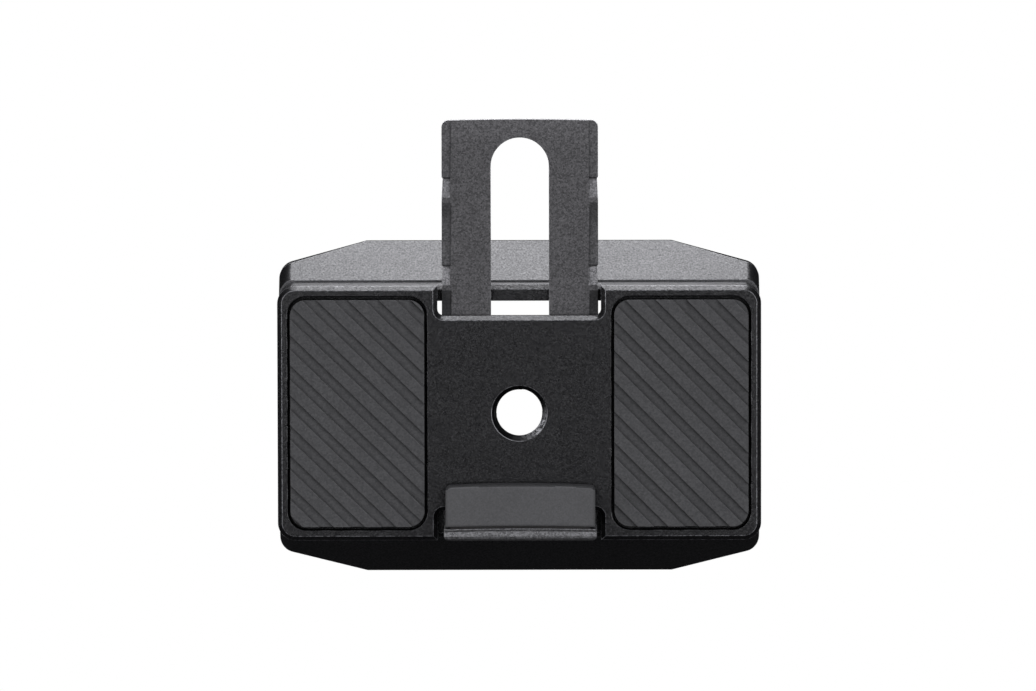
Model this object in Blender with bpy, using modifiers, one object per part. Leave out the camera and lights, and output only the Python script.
"""Camera mounting block: a 38 mm dovetail riser plate with two ribbed rubber
pads, a tapped camera-screw hole and a sliding, slotted anti-twist guard.

Run with: blender --background --python part.py

Frame: +Z up, the camera deck on top. X runs along the dovetail, Y across it,
with the front at -Y. Shapes are drawn about the axis of the screw hole. The last
step moves them all along Y, so that the origin is the centre of the whole
footprint, at the bottom. The guard is modelled pushed in, and slides out along -Y.
"""

import math
from contextlib import contextmanager

import bmesh
import bpy
from mathutils import Matrix, Vector

MM = 0.001

# ---- Driving dimensions, in millimetres ----

# Block, as two machined halves that meet at PART_Z
LENGTH = 55.0
HEIGHT = 13.0
DECK_W = 29.0
DECK_R = 2.0
DECK_CHAMFER = 0.5
PART_Z = 5.5
PART_GAP = 0.05
HALF_L = LENGTH / 2
HALF_W = DECK_W / 2

# Dovetail: 38 mm across the flange, 45 degree flanks
FLANGE_W = 38.0
HALF_F = FLANGE_W / 2
FLANGE_EDGE = 1.2
FLANK_Y = HALF_F + FLANGE_EDGE  # where the line of a flank meets z = 0
CORNER_CUT_X = 17.5
CORNER_CUT_Y = 16.25
CORNER_R = 1.9
END_R = 1.5
FOOT_CHAMFER = 0.3

# Screw-head window through the plate, and the pocket under the deck bridge
WINDOW_X = 10.0
WINDOW_REAR = 12.6
WINDOW_FRONT = 10.2
WINDOW_R = 1.0
WINDOW_CHAMFER = 0.4
POCKET_X = 11.0
POCKET_R = 1.5
BRIDGE_UNDER = 11.35

# Guard notches in both long edges of the deck
NOTCH_X = 9.3
NOTCH_Y = 11.1
NOTCH_FLOOR = 9.6
NOTCH_R = 0.7
NOTCH_CHAMFER = 0.5
SILL_CHAMFER = 0.57

# Camera-screw hole, 1/4 inch by 20 turns an inch
MINOR_R = 2.6
MAJOR_R = 3.19
PITCH = 1.27
MOUTH_R = 3.16
MOUTH_DEPTH = 1.0
BORE_Z0 = 10.0

# Thread cutter: half-heights of its V at the crest and at the base
THREAD_CREST = 0.08
THREAD_BASE = 0.56
THREAD_LAP = 0.15
THREAD_Z0 = BRIDGE_UNDER - 1.1
THREAD_TURNS = 3

# Pads, their recesses and their adhesive films
PAD_X = 18.42
PAD_W, PAD_L, PAD_R = 15.25, 25.85, 1.8
RECESS_W, RECESS_L, RECESS_R = 15.75, 26.55, 2.05
RECESS_Z = 11.6
RECESS_BREAK = 0.1
FILM_INSET = 0.3
FILM_Z0, FILM_Z1 = 11.64, 11.76
PAD_Z0 = 11.8
GROOVE_Z = 13.0
RIB_Z = 13.4
RIB_PERIOD = 2.467
RIB_WIDTH = 1.3
RIB_DRAFT = 0.05
RIB_ANGLE = {"left": 44.0, "right": 45.0}
RIB_PHASE = {"left": -1.3, "right": -0.32}
GROOVE_TOP = RIB_Z + 0.3
GROOVE_REACH = 22.0

# Guard: a slotted tongue with an upright lip
GUARD_X = 0.1
TONGUE_W = 17.8
TONGUE_Z0, TONGUE_Z1 = 9.7, 11.2
TONGUE_END = 33.37
TONGUE_END_R = 0.8
END_CROWN = 0.12
SLOT_W = 6.6
SLOT_R = SLOT_W / 2 - 0.001  # just short of a half circle, to keep its straight ends
SLOT_Y0, SLOT_Y1 = -4.5, 31.28
LIP_W = 17.35
LIP_Y_IN, LIP_Y_OUT = -12.8, -14.25
LIP_TOP_IN, LIP_TOP = 16.35, 16.62
LIP_R = 0.6
LIP_BOW = 0.12
SHOULDER_Y0, SHOULDER_Y1 = LIP_Y_IN + 0.9, LIP_Y_IN + 1.4
SEAT_Z = 13.0
SEAT_Y1 = -9.0
SEAT_OVERHANG = 0.5

# Lowered strips along the tongue, with sprung teeth and side notches
STRIP_W = 1.05
STRIP_Z = 10.95
STRIP_Y0 = -9.0
TOOTH_PITCH = 10.0
TOOTH_YS = [6.72 + TOOTH_PITCH * k for k in range(3)]
TOOTH_DIP = 0.25
TOOTH_RISE = 0.3
TOOTH_RUN = 2.45
TOOTH_FADE = 3.2
SIDE_NOTCH = 0.12
# Tooth, seen from the side: (y from the tooth's place, z from the strip)
TOOTH_SHAPE = (
    (-TOOTH_RUN - TOOTH_FADE, 0.0),
    (-TOOTH_RUN - 0.45 * TOOTH_FADE, 0.35 * TOOTH_RISE),
    (-TOOTH_RUN, TOOTH_RISE),
    (-0.12, -TOOTH_DIP),
    (0.0, 0.0),
)
# Side notch, seen from above: (y from the tooth's place, depth into the side)
SIDE_NOTCH_SHAPE = (
    (-TOOTH_RUN, 0.0),
    (-0.05, SIDE_NOTCH),
    (0.02, SIDE_NOTCH * 0.5),
    (0.05, 0.0),
)

# The tongue's way from the pocket to the front notch. It laps into both, and
# its floor and roof stand off theirs so that no two cut faces coincide.
CHANNEL_X = 9.35
CHANNEL_Y0, CHANNEL_Y1 = -NOTCH_Y - 0.3, 0.5 - WINDOW_FRONT
CHANNEL_Z0, CHANNEL_Z1 = NOTCH_FLOOR - 0.05, BRIDGE_UNDER - 0.03

# Rubber cushion on the lip, and its adhesive film
CUSHION_W = 16.87
CUSHION_Y0, CUSHION_Y1 = -12.62, -7.88
CUSHION_Z0, CUSHION_Z1 = 13.15, 16.5
CUSHION_R = 0.6
CUSHION_CROWN = 0.2
CUSHION_FILLET = 0.35
CUSHION_FILM = 0.1
CUSHION_FILM_Y = LIP_Y_IN + 0.04
CUSHION_FILM_HALF = CUSHION_W / 2 - 0.5
CUSHION_FILM_Z0, CUSHION_FILM_Z1 = CUSHION_Z0 + 0.3, CUSHION_Z1 - 0.6

# Detent leaf springs, one on each side of the tongue, and the slots for their feet
SPRING_Y = 6.3
SPRING_HALF = 4.4
SPRING_T = 0.25
SPRING_BACK = 10.75
SPRING_BOW = 1.6
SPRING_Z0, SPRING_Z1 = 5.8, 11.2
FOOT_DEPTH = 0.7
FOOT_SLOT_LAP = 0.4
FOOT_SLOT_PLAY = 0.15
FOOT_SLOT_HALF = 0.35
FOOT_SLOT_TOP = BRIDGE_UNDER - 0.1

# M3 countersunk screws that hold the two halves together, and their holes
SCREW_X, SCREW_Y = 20.5, 9.0
SCREW_R = 1.45
SCREW_CLEAR_R = 1.65
SCREW_TAP_R = 1.5
SCREW_HEAD_R = 2.9
SCREW_HEAD_Z = 0.12
SCREW_HEAD_BREAK = 0.08
SCREW_HEAD_RIM = 0.25
SCREW_TOP = 9.6
SCREW_TIP_CHAMFER = 0.3
SCREW_HOLE_TOP = 10.0
SINK_R = SCREW_HEAD_R + 0.1
SINK_Z = SCREW_HEAD_Z + 0.22
HEX_AF = 2.0
HEX_DEPTH = 1.1
HEX_TURN = 0.3  # radians

# How far a cutter runs clear of the part it cuts
CLEAR = 1.0
# How far a chamfer cutter runs on past the wall it breaks, so that no two
# cut faces coincide
OVERCUT = 0.05
# Where the cutters that open the block from below begin
BELOW_BLOCK = 4.0

# In the order of the numbered screw holes: (sign of x, sign of y)
CORNERS = {
    "rear_right": (1, 1),
    "rear_left": (-1, 1),
    "front_left": (-1, -1),
    "front_right": (1, -1),
}
SIDES = {"left": -1, "right": 1}

# ---- Finishes ----

PLATE_FINISH = dict(colour=(0.017, 0.017, 0.019), roughness=0.42, metallic=0.6)
BLOCK_FINISH = dict(colour=(0.018, 0.018, 0.020), roughness=0.38, metallic=0.6)
ADHESIVE_FINISH = dict(colour=(0.10, 0.095, 0.085), roughness=0.6, metallic=0.0)
PAD_FINISH = dict(colour=(0.045, 0.046, 0.048), roughness=0.78, metallic=0.0)
GUARD_FINISH = dict(colour=(0.050, 0.050, 0.052), roughness=0.6, metallic=0.0)
CUSHION_FINISH = dict(colour=(0.062, 0.064, 0.067), roughness=0.55, metallic=0.0)
SPRING_FINISH = dict(colour=(0.62, 0.61, 0.59), roughness=0.3, metallic=1.0)
SCREW_FINISH = dict(colour=(0.05, 0.05, 0.052), roughness=0.35, metallic=0.9)


# ---- Scene: collections, and an empty for each rigid body ----

for old in list(bpy.data.objects):
    bpy.data.objects.remove(old, do_unlink=True)
PARTS = bpy.data.collections.new("mounting_block")
CUTTERS = bpy.data.collections.new("cutters")
for collection in (PARTS, CUTTERS):
    bpy.context.scene.collection.children.link(collection)

BLOCK_FRAME = bpy.data.objects.new("block_frame", None)
GUARD_FRAME = bpy.data.objects.new("guard_frame", None)
GUARD_FRAME.location = (GUARD_X * MM, 0.0, (TONGUE_Z0 + TONGUE_Z1) / 2 * MM)
for frame in (BLOCK_FRAME, GUARD_FRAME):
    PARTS.objects.link(frame)
bpy.context.view_layer.update()


def material(name, colour, roughness, metallic):
    made = bpy.data.materials.new(name)
    made.use_nodes = True
    shader = made.node_tree.nodes["Principled BSDF"]
    shader.inputs["Base Color"].default_value = (*colour, 1.0)
    shader.inputs["Roughness"].default_value = roughness
    shader.inputs["Metallic"].default_value = metallic
    made.diffuse_color = (*colour, 1.0)
    return made


def keep(obj, name, finish, parent):
    """Names a finished part, gives it its material and files it with the parts."""
    obj.name = name
    obj.data.name = name
    obj.data.materials.append(material(name, **finish))
    PARTS.objects.link(obj)
    obj.parent = parent
    obj.matrix_parent_inverse = parent.matrix_world.inverted()


def cutter(obj, name, group=CUTTERS):
    obj.name = name
    obj.hide_render = True
    obj.display_type = "WIRE"
    group.objects.link(obj)
    return obj


def cutter_group(name):
    """A collection for all the cutters that are taken from one part together."""
    group = bpy.data.collections.new(name)
    CUTTERS.children.link(group)
    return group


def boolean(target, tool, operation="DIFFERENCE"):
    """Adds an exact Boolean by a cutter, or by every cutter of a group at once."""
    step = target.modifiers.new(tool.name, "BOOLEAN")
    step.operation = operation
    step.solver = "EXACT"
    if isinstance(tool, bpy.types.Collection):
        step.operand_type = "COLLECTION"
        step.collection = tool
    else:
        step.object = tool


# ---- Outlines, in millimetres ----


def rounded_polygon(corners, radii, steps=6):
    """A counter-clockwise polygon with each corner turned into an arc of its own radius."""
    outline = []
    for i, radius in enumerate(radii):
        before = Vector(corners[i - 1])
        here = Vector(corners[i])
        after = Vector(corners[(i + 1) % len(corners)])
        if radius <= 0:
            outline.append(tuple(here))
            continue
        to_before = (before - here).normalized()
        to_after = (after - here).normalized()
        half = to_before.angle(to_after) / 2
        start = here + to_before * (radius / math.tan(half))
        centre = here + (to_before + to_after).normalized() * (radius / math.sin(half))
        first = start - centre
        turn = math.pi - 2 * half
        for k in range(steps + 1):
            angle = turn * k / steps
            cos, sin = math.cos(angle), math.sin(angle)
            outline.append(
                (
                    centre.x + first.x * cos - first.y * sin,
                    centre.y + first.x * sin + first.y * cos,
                )
            )
    return outline


def rounded_rect(x0, x1, y0, y1, radius, steps=6, grow=0.0):
    """A rectangle with round corners, with its whole outline moved out by grow."""
    x0, x1, y0, y1 = x0 - grow, x1 + grow, y0 - grow, y1 + grow
    corners = [(x0, y0), (x1, y0), (x1, y1), (x0, y1)]
    return rounded_polygon(corners, [radius + grow] * 4, steps)


def arc(x, y, radius, start, end, steps):
    """Points on an arc about (x, y), from a start to an end angle in degrees."""
    angles = [math.radians(start + (end - start) * k / steps) for k in range(steps + 1)]
    return [(x + radius * math.cos(a), y + radius * math.sin(a)) for a in angles]


def crowned_end(half, radius, end_y, crown, steps=10):
    """The +X half of an end that bulges to end_y: a round corner, then the crown."""
    corner_y = end_y - crown
    span = half - radius
    line = arc(span, corner_y - radius, radius, 0, 90, 6)
    for k in range(1, steps // 2 + 1):
        x = span - 2 * span * k / steps
        line.append((x, corner_y + crown * (1 - (x / span) ** 2)))
    return line


def mirrored(right):
    """A whole outline about the guard's middle, from its +X half drawn about x = 0."""
    left = [(-x, y) for x, y in reversed(right) if x > 1e-6]
    return [(GUARD_X + x, y) for x, y in right + left]


def bowed(y, half, steps=10):
    """A line across the lip, from -X to +X: at y in the middle and LIP_BOW
    nearer the front at the two ends."""
    places = [2 * k / steps - 1 for k in range(steps + 1)]
    return [(GUARD_X + half * place, y - LIP_BOW * place**2) for place in places]


# ---- Solids ----


@contextmanager
def editing(mesh):
    """Opens a mesh for editing and writes it back afterwards."""
    work = bmesh.new()
    work.from_mesh(mesh)
    yield work
    work.to_mesh(mesh)
    work.free()


def evaluated_mesh(obj):
    """The placed and evaluated mesh of a temporary object, which is then removed."""
    bpy.context.scene.collection.objects.link(obj)
    bpy.context.view_layer.update()
    graph = bpy.context.evaluated_depsgraph_get()
    mesh = bpy.data.meshes.new_from_object(obj.evaluated_get(graph))
    mesh.transform(obj.matrix_world)
    bpy.data.batch_remove([obj, obj.data])
    return mesh


def prism(points, low, high, along="Z"):
    """A flat outline extruded from low to high along an axis. Along Z the outline
    is (x, y); along X it is (y, z)."""
    curve = bpy.data.curves.new("outline", "CURVE")
    curve.dimensions = "2D"
    curve.fill_mode = "BOTH"
    curve.extrude = (high - low) / 2 * MM
    spline = curve.splines.new("POLY")
    spline.points.add(len(points) - 1)
    for point, (across, up) in zip(spline.points, points):
        point.co = (across * MM, up * MM, 0.0, 1.0)
    spline.use_cyclic_u = True
    drawn = bpy.data.objects.new("outline", curve)
    middle = (low + high) / 2 * MM
    if along == "Z":
        drawn.matrix_world = Matrix.Translation((0, 0, middle))
    else:
        turn = Matrix(((0, 0, 1), (1, 0, 0), (0, 1, 0))).to_4x4()
        drawn.matrix_world = Matrix.Translation((middle, 0, 0)) @ turn
    mesh = evaluated_mesh(drawn)
    with editing(mesh) as work:
        bmesh.ops.remove_doubles(work, verts=work.verts, dist=1e-7)
        bmesh.ops.dissolve_limit(
            work, angle_limit=0.002, verts=work.verts, edges=work.edges
        )
        bmesh.ops.recalc_face_normals(work, faces=work.faces)
    return bpy.data.objects.new("solid", mesh)


def bevel(obj, chosen, width, segments=1):
    """Bevels the edges for which chosen(end, end) holds, ends in millimetres."""
    with editing(obj.data) as work:
        edges = [
            edge
            for edge in work.edges
            if chosen(edge.verts[0].co / MM, edge.verts[1].co / MM)
        ]
        bmesh.ops.bevel(
            work,
            geom=edges,
            offset=width * MM,
            offset_type="OFFSET",
            segments=segments,
            profile=0.5,
            affect="EDGES",
            clamp_overlap=True,
        )
    return obj


def at_height(z, slack=1e-3):
    return lambda start, end: abs(start.z - z) < slack and abs(end.z - z) < slack


def deck_edge_cutter(outline, width, top):
    """Chamfers the rim of an opening in the deck; outline is the opening grown by width."""
    low = HEIGHT - width - OVERCUT
    return bevel(prism(outline, low, top), at_height(low), width + OVERCUT)


def swept(profile, steps, closed=False, **settings):
    """Sweeps an (r, z) profile about the Z axis with a Screw modifier."""
    mesh = bpy.data.meshes.new("swept")
    with editing(mesh) as work:
        points = [work.verts.new((r * MM, 0.0, z * MM)) for r, z in profile]
        for start, end in zip(points, points[1:]):
            work.edges.new((start, end))
        if closed:
            work.faces.new(points)
    obj = bpy.data.objects.new("swept", mesh)
    turn = obj.modifiers.new("turn", "SCREW")
    turn.axis = "Z"
    turn.angle = 2 * math.pi
    turn.steps = turn.render_steps = steps
    for setting, value in settings.items():
        setattr(turn, setting, value)
    return evaluated_mesh(obj)


def lathe(profile, steps, x=0.0, y=0.0):
    """Turns an (r, z) profile, listed down its outer side, about a vertical axis."""
    mesh = swept(profile, steps, use_merge_vertices=True, merge_threshold=1e-6)
    mesh.transform(Matrix.Translation((x * MM, y * MM, 0)))
    return bpy.data.objects.new("turned", mesh)


def smooth(obj, degrees=30.0):
    obj.data.shade_smooth()
    obj.data.set_sharp_from_angle(angle=math.radians(degrees))
    return obj


def joined(objects):
    """Several separate cutter bodies as one mesh."""
    work = bmesh.new()
    for obj in objects:
        work.from_mesh(obj.data)
    mesh = bpy.data.meshes.new("joined")
    work.to_mesh(mesh)
    work.free()
    for obj in objects:
        bpy.data.objects.remove(obj)
    return bpy.data.objects.new("joined", mesh)


# ---- Dovetail plate ----


def flange_solid():
    outline = rounded_polygon(
        [
            (HALF_L, -CORNER_CUT_Y),
            (HALF_L, CORNER_CUT_Y),
            (CORNER_CUT_X, HALF_F),
            (-CORNER_CUT_X, HALF_F),
            (-HALF_L, CORNER_CUT_Y),
            (-HALF_L, -CORNER_CUT_Y),
            (-CORNER_CUT_X, -HALF_F),
            (CORNER_CUT_X, -HALF_F),
        ],
        [CORNER_R, CORNER_R, 0, 0] * 2,
        steps=8,
    )
    return bevel(prism(outline, 0.0, PART_Z), at_height(0.0), FOOT_CHAMFER)


def flanks_solid():
    """The space between the 45 degree flanks, longer than the plate at both ends."""
    top, end_reach = 7.0, 4.0
    section = [
        (-(FLANK_Y + CLEAR), -CLEAR),
        (FLANK_Y + CLEAR, -CLEAR),
        (FLANK_Y - top, top),
        (-(FLANK_Y - top), top),
    ]
    return prism(section, -HALF_L - end_reach, HALF_L + end_reach, along="X")


def end_fillet(x_side, y_side):
    """All that lies outside a fillet between one flank and one end wall."""
    outside, slack, reach = 2.0, 0.004, 9.0
    height = PART_Z - 2.15
    # Section: (x beyond the end wall, distance out from the flank)
    section = [(outside, outside), (-END_R, outside)]
    section += arc(-END_R, -END_R, END_R + slack, 90, 0, 7)
    section.append((outside, -END_R))
    if x_side > 0:
        section = [(HALF_L + beyond, out) for beyond, out in section]
    else:
        section = [(-HALF_L - beyond, out) for beyond, out in reversed(section)]
    edge = prism(section, -reach, reach)
    lean = math.radians(45 if y_side > 0 else 135)
    edge.data.transform(
        Matrix.Translation((0, y_side * (FLANK_Y - height) * MM, height * MM))
        @ Matrix.Rotation(lean, 4, "X")
    )
    return edge


def cut_window(cuts):
    sides = (-WINDOW_X, WINDOW_X, -WINDOW_FRONT, WINDOW_REAR, WINDOW_R)
    cutter(prism(rounded_rect(*sides), -CLEAR, PART_Z + CLEAR), "plate_window", cuts)
    depth = WINDOW_CHAMFER + OVERCUT
    edge = prism(rounded_rect(*sides, grow=WINDOW_CHAMFER), -CLEAR, depth)
    cutter(bevel(edge, at_height(depth), depth), "plate_window_edge", cuts)


def cut_screw_holes(profile, steps, name, cuts):
    for number, (x_side, y_side) in enumerate(CORNERS.values(), start=1):
        hole = lathe(profile, steps, x_side * SCREW_X, y_side * SCREW_Y)
        cutter(hole, f"{name}_{number}", cuts)


def build_plate():
    plate = flange_solid()
    boolean(plate, cutter(flanks_solid(), "plate_flanks"), "INTERSECT")
    cuts = cutter_group("dovetail_plate_cuts")
    for tag, (x_side, y_side) in CORNERS.items():
        cutter(end_fillet(x_side, y_side), f"plate_end_{tag}", cuts)
    cut_window(cuts)
    countersunk = [
        (0, PART_Z + CLEAR),
        (SCREW_CLEAR_R, PART_Z + CLEAR),
        (SCREW_CLEAR_R, SINK_Z + SINK_R - SCREW_CLEAR_R),
        (SINK_R, SINK_Z),
        (SINK_R, -CLEAR),
        (0, -CLEAR),
    ]
    cut_screw_holes(countersunk, 32, "plate_screw_hole", cuts)
    boolean(plate, cuts)
    keep(smooth(plate), "dovetail_plate", PLATE_FINISH, BLOCK_FRAME)


# ---- Deck block ----


def cut_pocket(cuts):
    """The pocket under the bridge, and the channel from it to the front notch."""
    pocket = rounded_rect(-POCKET_X, POCKET_X, -WINDOW_FRONT, WINDOW_REAR, POCKET_R)
    cutter(prism(pocket, BELOW_BLOCK, BRIDGE_UNDER), "block_pocket", cuts)
    channel = rounded_rect(-CHANNEL_X, CHANNEL_X, CHANNEL_Y0, CHANNEL_Y1, 0)
    cutter(prism(channel, CHANNEL_Z0, CHANNEL_Z1), "block_front_channel", cuts)


def cut_notch(side, tag, cuts):
    """A notch in one long edge of the deck, its sill chamfer and its rim chamfer."""
    wall = side * NOTCH_Y
    top = HEIGHT + 2 * CLEAR
    section = [
        (wall, top),
        (wall, NOTCH_FLOOR),
        (side * (HALF_W - SILL_CHAMFER), NOTCH_FLOOR),
        (side * (HALF_W + CLEAR), NOTCH_FLOOR - SILL_CHAMFER - CLEAR),
        (side * (HALF_W + CLEAR), top),
    ]

    def inner_corner(start, end):
        on_wall = abs(start.y - wall) < 1e-3 and abs(end.y - wall) < 1e-3
        return on_wall and abs(start.z - end.z) > 1.0

    notch = prism(section, -NOTCH_X, NOTCH_X, along="X")
    bevel(notch, inner_corner, NOTCH_R, segments=5)
    cutter(notch, f"notch_{tag}", cuts)

    x = side * (NOTCH_X + NOTCH_CHAMFER)
    y_in = side * (NOTCH_Y - NOTCH_CHAMFER)
    y_out = side * (HALF_W + 3 * CLEAR)
    radius = NOTCH_R + NOTCH_CHAMFER
    rim = rounded_polygon(
        [(-x, y_in), (x, y_in), (x, y_out), (-x, y_out)], [radius, radius, 0, 0], steps=5
    )
    cutter(deck_edge_cutter(rim, NOTCH_CHAMFER, top), f"notch_{tag}_edge", cuts)


def pad_outline(side, width, length, radius, steps=8, grow=0.0):
    """A rounded rectangle about the middle of one pad."""
    x = side * PAD_X
    return rounded_rect(
        x - width / 2, x + width / 2, -length / 2, length / 2, radius, steps, grow
    )


def cut_recess(side, tag, cuts):
    size = (side, RECESS_W, RECESS_L, RECESS_R)
    top = HEIGHT + CLEAR
    cutter(prism(pad_outline(*size), RECESS_Z, top), f"{tag}_recess", cuts)
    rim = pad_outline(*size, grow=RECESS_BREAK)
    cutter(deck_edge_cutter(rim, RECESS_BREAK, top), f"{tag}_recess_edge", cuts)


def cut_spring_slots(side, tag, cuts):
    """The feet of each leaf spring sit in two slots in the pocket wall."""
    x0, x1 = sorted(
        GUARD_X + side * x
        for x in (POCKET_X - FOOT_SLOT_LAP, POCKET_X + FOOT_DEPTH + FOOT_SLOT_PLAY)
    )
    for end, letter in ((-1, "a"), (1, "b")):
        y = SPRING_Y + end * SPRING_HALF
        outline = rounded_rect(x0, x1, y - FOOT_SLOT_HALF, y + FOOT_SLOT_HALF, 0)
        slot = prism(outline, BELOW_BLOCK, FOOT_SLOT_TOP)
        cutter(slot, f"{tag}_spring_slot_{letter}", cuts)


def screw_bore():
    """The tapped hole's bore, with its conical mouth run on above the deck."""
    mouth_slope = (MOUTH_R - MINOR_R) / MOUTH_DEPTH
    return lathe(
        [
            (0, HEIGHT + CLEAR),
            (MOUTH_R + mouth_slope * CLEAR, HEIGHT + CLEAR),
            (MINOR_R, HEIGHT - MOUTH_DEPTH),
            (MINOR_R, BORE_Z0),
            (0, BORE_Z0),
        ],
        48,
    )


def thread_cutter():
    """A helical V that cuts the inside thread from below the bridge to above the deck."""
    inner = MINOR_R - THREAD_LAP
    section = [
        (inner, THREAD_Z0 - THREAD_BASE),
        (MAJOR_R, THREAD_Z0 - THREAD_CREST),
        (MAJOR_R, THREAD_Z0 + THREAD_CREST),
        (inner, THREAD_Z0 + THREAD_BASE),
    ]
    mesh = swept(
        section,
        36,
        closed=True,
        iterations=THREAD_TURNS,
        screw_offset=PITCH * MM,
        use_merge_vertices=False,
    )
    with editing(mesh) as work:
        bmesh.ops.remove_doubles(work, verts=work.verts, dist=1e-7)
        open_edges = [edge for edge in work.edges if edge.is_boundary]
        bmesh.ops.holes_fill(work, edges=open_edges, sides=0)
        bmesh.ops.recalc_face_normals(work, faces=work.faces)
    return bpy.data.objects.new("thread", mesh)


def build_block():
    outline = rounded_rect(-HALF_L, HALF_L, -HALF_W, HALF_W, DECK_R, steps=8)
    block = prism(outline, PART_Z + PART_GAP, HEIGHT)
    bevel(block, at_height(HEIGHT), DECK_CHAMFER)
    cuts = cutter_group("deck_block_cuts")
    cut_pocket(cuts)
    cut_notch(1, "rear", cuts)
    cut_notch(-1, "front", cuts)
    for tag, side in SIDES.items():
        cut_recess(side, tag, cuts)
        cut_spring_slots(side, tag, cuts)
    tapped = [
        (0, SCREW_HOLE_TOP + SCREW_TAP_R * 0.5),
        (SCREW_TAP_R, SCREW_HOLE_TOP),
        (SCREW_TAP_R, BELOW_BLOCK),
        (0, BELOW_BLOCK),
    ]
    cut_screw_holes(tapped, 24, "block_screw_hole", cuts)
    cutter(screw_bore(), "screw_bore", cuts)
    cutter(thread_cutter(), "screw_thread", cuts)
    boolean(block, cuts)
    keep(smooth(block), "deck_block", BLOCK_FINISH, BLOCK_FRAME)


# ---- Grip pads and their adhesive films ----


def groove_bars(side, tag):
    """Bars for grooves with drafted walls, from rear left to front right."""
    turn = Matrix.Translation((side * PAD_X * MM, 0, 0)) @ Matrix.Rotation(
        -math.radians(RIB_ANGLE[tag]), 4, "Z"
    )
    spread = RIB_DRAFT * (GROOVE_TOP - GROOVE_Z) / (RIB_Z - GROOVE_Z)
    pad_reach = (PAD_W + PAD_L) * math.sqrt(0.5) / 2
    bars = []
    for k in range(-6, 7):
        near = RIB_PHASE[tag] + k * RIB_PERIOD + RIB_WIDTH
        far = RIB_PHASE[tag] + (k + 1) * RIB_PERIOD
        if far < -pad_reach or near > pad_reach:
            continue
        section = [
            (near + RIB_DRAFT, GROOVE_Z),
            (far - RIB_DRAFT, GROOVE_Z),
            (far - RIB_DRAFT + spread, GROOVE_TOP),
            (near + RIB_DRAFT - spread, GROOVE_TOP),
        ]
        bar = prism(section, -GROOVE_REACH, GROOVE_REACH, along="X")
        bar.data.transform(turn)
        bars.append(bar)
    return joined(bars)


def build_pad(side, tag):
    size = (side, PAD_W, PAD_L, PAD_R)
    film = prism(pad_outline(*size, steps=4, grow=-FILM_INSET), FILM_Z0, FILM_Z1)
    keep(film, f"{tag}_pad_adhesive", ADHESIVE_FINISH, BLOCK_FRAME)
    pad = prism(pad_outline(*size), PAD_Z0, RIB_Z)
    boolean(pad, cutter(groove_bars(side, tag), f"{tag}_pad_grooves"))
    keep(pad, f"{tag}_grip_pad", PAD_FINISH, BLOCK_FRAME)


# ---- Guard ----


def guard_section():
    """The guard seen from the side, as (y, z): under the tongue's far end, back
    along its top, up the lip's inner face, over its top and down its outer face."""
    return [
        (TONGUE_END + CLEAR, TONGUE_Z0),
        (TONGUE_END + CLEAR, TONGUE_Z1),
        (LIP_Y_IN + 0.5, TONGUE_Z1),
        (LIP_Y_IN + 0.18, TONGUE_Z1 + 0.13),
        (LIP_Y_IN + 0.05, TONGUE_Z1 + 0.45),
        (LIP_Y_IN + 0.05, LIP_TOP_IN),
        (LIP_Y_OUT + 0.55, LIP_TOP),
        (LIP_Y_OUT + 0.25, LIP_TOP - 0.06),
        (LIP_Y_OUT + 0.06, LIP_TOP - 0.24),
        (LIP_Y_OUT, LIP_TOP - 0.5),
        (LIP_Y_OUT, TONGUE_Z0 + 0.4),
        (LIP_Y_OUT + 0.12, TONGUE_Z0 + 0.12),
        (LIP_Y_OUT + 0.4, TONGUE_Z0),
    ]


def guard_plan():
    """The guard seen from above: a narrower lip with rounded corners, side
    detent notches, and a slightly crowned far end with rounded corners."""
    lip_half, half = LIP_W / 2, TONGUE_W / 2
    right = arc(lip_half - LIP_R, LIP_Y_OUT + LIP_R, LIP_R, -90, 0, 5)
    right += [(lip_half, SHOULDER_Y0), (half, SHOULDER_Y1)]
    for y in TOOTH_YS:
        right += [(half - depth, y + along) for along, depth in SIDE_NOTCH_SHAPE]
    right += crowned_end(half, TONGUE_END_R, TONGUE_END, END_CROWN)
    return mirrored(right)


def cushion_seat():
    """The shallow seat that the cushion is stuck into."""
    half = LIP_W / 2 + SEAT_OVERHANG
    outline = bowed(LIP_Y_IN, half) + [(GUARD_X + half, SEAT_Y1), (GUARD_X - half, SEAT_Y1)]
    return prism(outline, SEAT_Z, LIP_TOP + CLEAR)


def strip_space(side):
    """The space above one edge strip. Towards +Y, each tooth fades up from the
    level strip, ramps down into a dip and steps back to level."""
    line = [(STRIP_Y0, STRIP_Z)]
    for y in TOOTH_YS:
        line += [(y + along, STRIP_Z + up) for along, up in TOOTH_SHAPE]
    line += [
        (TONGUE_END + CLEAR, STRIP_Z),
        (TONGUE_END + CLEAR, TONGUE_Z1 + CLEAR),
        (STRIP_Y0, TONGUE_Z1 + CLEAR),
    ]
    inner = GUARD_X + side * (TONGUE_W / 2 - STRIP_W)
    outer = GUARD_X + side * (TONGUE_W / 2 + CLEAR)
    return prism(line, min(inner, outer), max(inner, outer), along="X")


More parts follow.
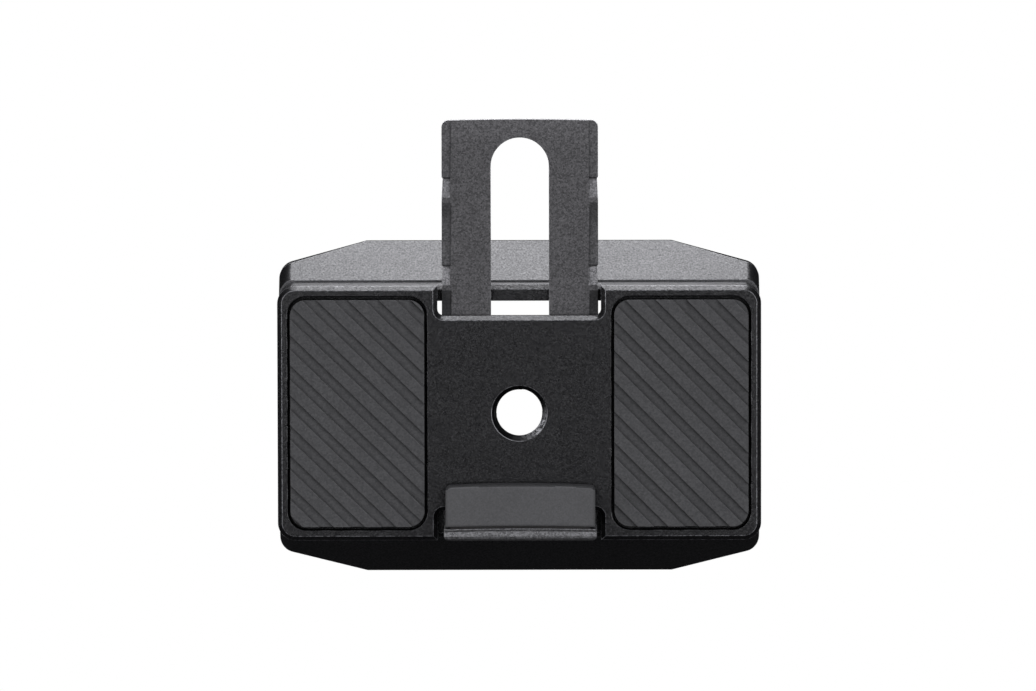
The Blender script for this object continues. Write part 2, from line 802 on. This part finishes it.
def build_guard():
    reach = TONGUE_W / 2 + CLEAR
    guard = prism(guard_section(), GUARD_X - reach, GUARD_X + reach, along="X")
    plan = prism(guard_plan(), TONGUE_Z0 - CLEAR, LIP_TOP + CLEAR)
    boolean(guard, cutter(plan, "guard_plan"), "INTERSECT")
    cuts = cutter_group("guard_cuts")
    slot = rounded_rect(
        GUARD_X - SLOT_W / 2, GUARD_X + SLOT_W / 2, SLOT_Y0, SLOT_Y1, SLOT_R, steps=12
    )
    cutter(prism(slot, TONGUE_Z0 - CLEAR, TONGUE_Z1 + CLEAR), "guard_slot", cuts)
    cutter(cushion_seat(), "guard_cushion_seat", cuts)
    for tag, side in SIDES.items():
        cutter(strip_space(side), f"guard_strip_{tag}", cuts)
    boolean(guard, cuts)
    keep(smooth(guard, 20.0), "anti_twist_guard", GUARD_FINISH, GUARD_FRAME)


# ---- Lip cushion and its adhesive film ----


def build_cushion():
    half = CUSHION_W / 2
    right = [(half, CUSHION_Y0 - LIP_BOW)]
    right += crowned_end(half, CUSHION_R, CUSHION_Y1, CUSHION_CROWN)
    outline = mirrored(right) + bowed(CUSHION_Y0, half)[1:-1]
    cushion = prism(outline, CUSHION_Z0, CUSHION_Z1)
    bevel(cushion, at_height(CUSHION_Z1), CUSHION_FILLET, segments=4)
    keep(smooth(cushion), "guard_cushion", CUSHION_FINISH, GUARD_FRAME)


def build_cushion_film():
    rear = bowed(CUSHION_FILM_Y + CUSHION_FILM, CUSHION_FILM_HALF)
    front = bowed(CUSHION_FILM_Y, CUSHION_FILM_HALF)
    film = prism(rear[::-1] + front, CUSHION_FILM_Z0, CUSHION_FILM_Z1)
    keep(film, "cushion_adhesive", ADHESIVE_FINISH, GUARD_FRAME)


# ---- Detent leaf springs ----


def spring_outline(side, steps=20):
    """A bowed strip with a foot bent outwards at each end, seen from above."""
    inner, outer = [], []
    foot_x = POCKET_X + FOOT_DEPTH
    y_low, y_high = SPRING_Y - SPRING_HALF, SPRING_Y + SPRING_HALF
    half = SPRING_T / 2
    for k in range(steps + 1):
        place = -1 + 2 * k / steps
        x = SPRING_BACK - SPRING_BOW * 0.5 * (1 + math.cos(math.pi * place))
        y = SPRING_Y + place * SPRING_HALF
        slope = -SPRING_BOW * 0.5 * math.pi / SPRING_HALF * math.sin(math.pi * place)
        length = math.hypot(1.0, slope)
        inner.append((x - half / length, y - half * slope / length))
        outer.append((x + half / length, y + half * slope / length))
    line = [
        (foot_x, y_low - half),
        (inner[0][0], y_low - half),
        *inner[1:-1],
        (inner[-1][0], y_high + half),
        (foot_x, y_high + half),
        (foot_x, y_high - half),
        (outer[-1][0], y_high - half),
        *reversed(outer[2:-2]),
        (outer[0][0], y_low + half),
        (foot_x, y_low + half),
    ]
    # Reversed on the right, so that both outlines run counter-clockwise
    return [(GUARD_X + side * x, y) for x, y in line][::-side]


def build_spring(side, tag):
    leaf = prism(spring_outline(side), SPRING_Z0, SPRING_Z1)
    keep(smooth(leaf), f"{tag}_detent_spring", SPRING_FINISH, BLOCK_FRAME)


# ---- Countersunk screws ----


def hex_socket(x, y):
    across = HEX_AF / 2 / math.cos(math.pi / 6)
    angles = [math.pi / 3 * k + HEX_TURN for k in range(6)]
    outline = [(x + across * math.cos(a), y + across * math.sin(a)) for a in angles]
    return prism(outline, SCREW_HEAD_Z - CLEAR, SCREW_HEAD_Z + HEX_DEPTH)


def build_screw(tag, x, y):
    rim_z = SCREW_HEAD_Z + SCREW_HEAD_RIM
    profile = [
        (0, SCREW_TOP),
        (SCREW_R - SCREW_TIP_CHAMFER, SCREW_TOP),
        (SCREW_R, SCREW_TOP - SCREW_TIP_CHAMFER),
        (SCREW_R, rim_z + SCREW_HEAD_R - SCREW_R),
        (SCREW_HEAD_R, rim_z),
        (SCREW_HEAD_R, SCREW_HEAD_Z + SCREW_HEAD_BREAK),
        (SCREW_HEAD_R - SCREW_HEAD_BREAK, SCREW_HEAD_Z),
        (0, SCREW_HEAD_Z),
    ]
    screw = lathe(profile, 32, x, y)
    boolean(screw, cutter(hex_socket(x, y), f"{tag}_socket"))
    keep(smooth(screw), f"{tag}_screw", SCREW_FINISH, BLOCK_FRAME)


# ---- Origin ----


def centre_footprint():
    """The footprint runs from the flange's front edge to the tongue's far end."""
    middle_y = (TONGUE_END - HALF_F) / 2
    for obj in [*PARTS.all_objects, *CUTTERS.all_objects]:
        if obj.parent is None:
            obj.location.y -= middle_y * MM


build_plate()
build_block()
for side_tag, side_sign in SIDES.items():
    build_pad(side_sign, side_tag)
build_guard()
build_cushion()
build_cushion_film()
for side_tag, side_sign in SIDES.items():
    build_spring(side_sign, side_tag)
for corner_tag, (x_sign, y_sign) in CORNERS.items():
    build_screw(corner_tag, x_sign * SCREW_X, y_sign * SCREW_Y)
centre_footprint()
